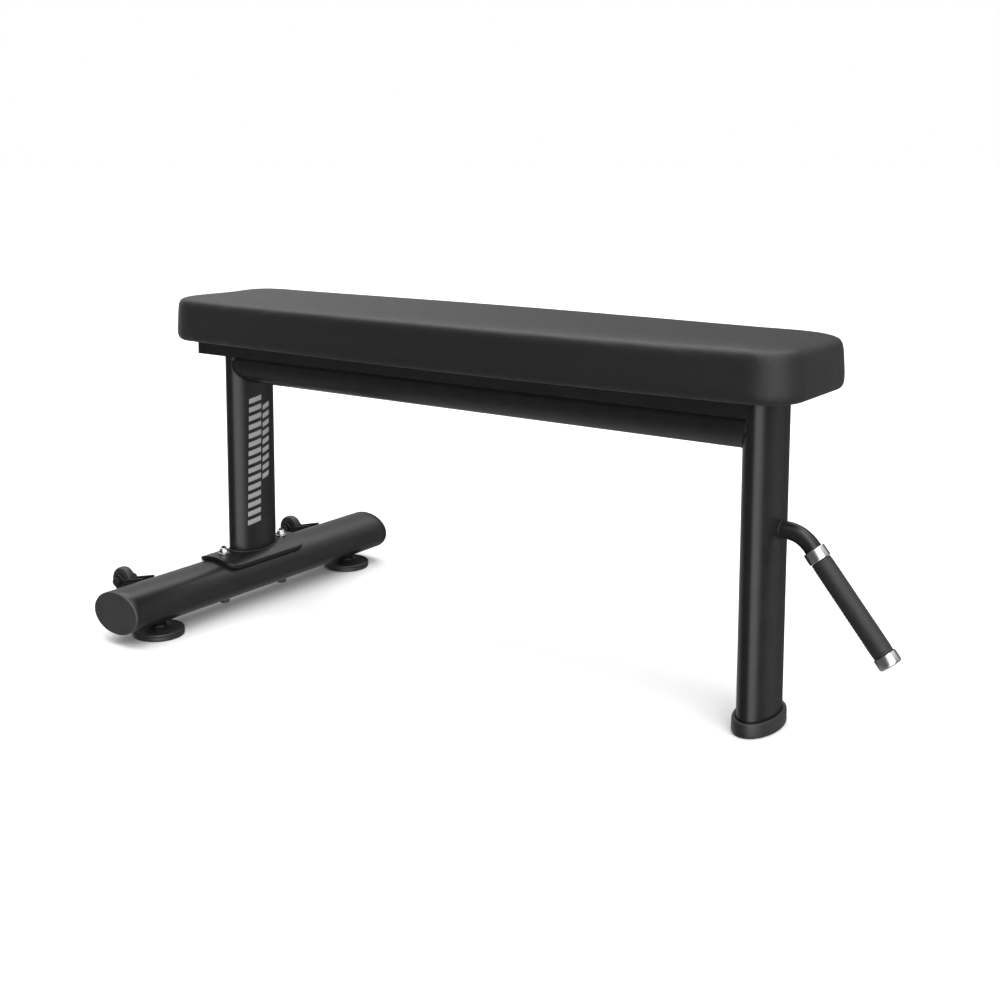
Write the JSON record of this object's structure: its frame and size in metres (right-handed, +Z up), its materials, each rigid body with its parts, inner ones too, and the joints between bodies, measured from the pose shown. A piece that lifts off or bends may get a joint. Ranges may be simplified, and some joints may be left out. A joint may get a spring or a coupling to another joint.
{
  "type": "flat weight bench",
  "caption": "Flat upholstered weight bench on oval steel tubes, with levelling feet and transport wheels under one end and a carrying handle at the other.",
  "frame": {"origin": "on the floor, in the middle of the footprint", "axes": "+X along the bench towards the carrying handle, +Y across the bench, +Z up"},
  "size_m": [1.261, 0.6126, 0.5283],
  "materials": {
    "frame_paint": "satin powder coat, charcoal black",
    "upholstery": "fine-grained black vinyl, semi-matt",
    "plywood": "raw birch plywood",
    "black_rubber": "moulded, matt",
    "tyre_rubber": "moulded, matt",
    "grip_rubber": "textured, matt",
    "black_plastic": "moulded, fine texture",
    "bright_metal": "polished",
    "zinc_steel": "zinc plated",
    "black_steel": "black oxide"
  },
  "bodies": {
    "frame": {"base_tube": "frame_paint", "saddle_plate": "frame_paint", "base_end_cap_front": "black_plastic", "base_end_cap_rear": "black_plastic", "saddle_bolt_front": "black_steel", "saddle_lower_washer_front": "black_steel", "saddle_washer_front": "zinc_steel", "saddle_nut_front": "zinc_steel", "saddle_bolt_rear": "black_steel", "saddle_lower_washer_rear": "black_steel", "saddle_washer_rear": "zinc_steel", "saddle_nut_rear": "zinc_steel", "wheel_end_upright": "frame_paint", "crossbar": "frame_paint", "handle_end_upright": "frame_paint", "upright_top_plate": "frame_paint", "pad_channel": "frame_paint", "upright_boot": "black_rubber", "pad_board": "plywood", "pad_cushion": "upholstery", "pad_bolt_wheel_end": "zinc_steel", "pad_bolt_washer_wheel_end": "zinc_steel", "pad_spacer_wheel_end": "zinc_steel", "pad_tee_nut_wheel_end": "zinc_steel", "pad_bolt_middle": "zinc_steel", "pad_bolt_washer_middle": "zinc_steel", "pad_spacer_middle": "zinc_steel", "pad_tee_nut_middle": "zinc_steel", "pad_bolt_handle_end": "zinc_steel", "pad_bolt_washer_handle_end": "zinc_steel", "pad_spacer_handle_end": "zinc_steel", "pad_tee_nut_handle_end": "zinc_steel", "foot_nut_front": "black_steel", "foot_nut_rear": "black_steel", "wheel_bracket_front": "frame_paint", "wheel_axle_bolt_front": "black_steel", "wheel_washer_front": "black_steel", "wheel_lock_nut_front": "black_steel", "wheel_bracket_rear": "frame_paint", "wheel_axle_bolt_rear": "black_steel", "wheel_washer_rear": "black_steel", "wheel_lock_nut_rear": "black_steel", "handle_collar": "bright_metal", "handle_grip": "grip_rubber", "handle_end_cap": "bright_metal", "handle_tube": "frame_paint"},
    "wheel_front": {"wheel_tyre_front": "tyre_rubber", "wheel_hub_front": "black_plastic"},
    "foot_front": {"foot_tread_front": "black_rubber", "foot_disc_front": "black_plastic", "foot_stud_front": "black_steel"},
    "wheel_rear": {"wheel_tyre_rear": "tyre_rubber", "wheel_hub_rear": "black_plastic"},
    "foot_rear": {"foot_tread_rear": "black_rubber", "foot_disc_rear": "black_plastic", "foot_stud_rear": "black_steel"}
  },
  "joints": [
    {"name": "wheel_front_spin", "type": "hinge", "parent": "frame", "child": "wheel_front", "pos_m": [-0.60849, -0.202, 0.062], "axis": [0, 1, 0], "continuous": true},
    {"name": "foot_front_levelling", "type": "slide", "parent": "frame", "child": "foot_front", "axis": [0, 0, -1], "range_m": [0, 0.01]},
    {"name": "wheel_rear_spin", "type": "hinge", "parent": "frame", "child": "wheel_rear", "pos_m": [-0.60849, 0.202, 0.062], "axis": [0, 1, 0], "continuous": true},
    {"name": "foot_rear_levelling", "type": "slide", "parent": "frame", "child": "foot_rear", "axis": [0, 0, -1], "range_m": [0, 0.01]}
  ]
}
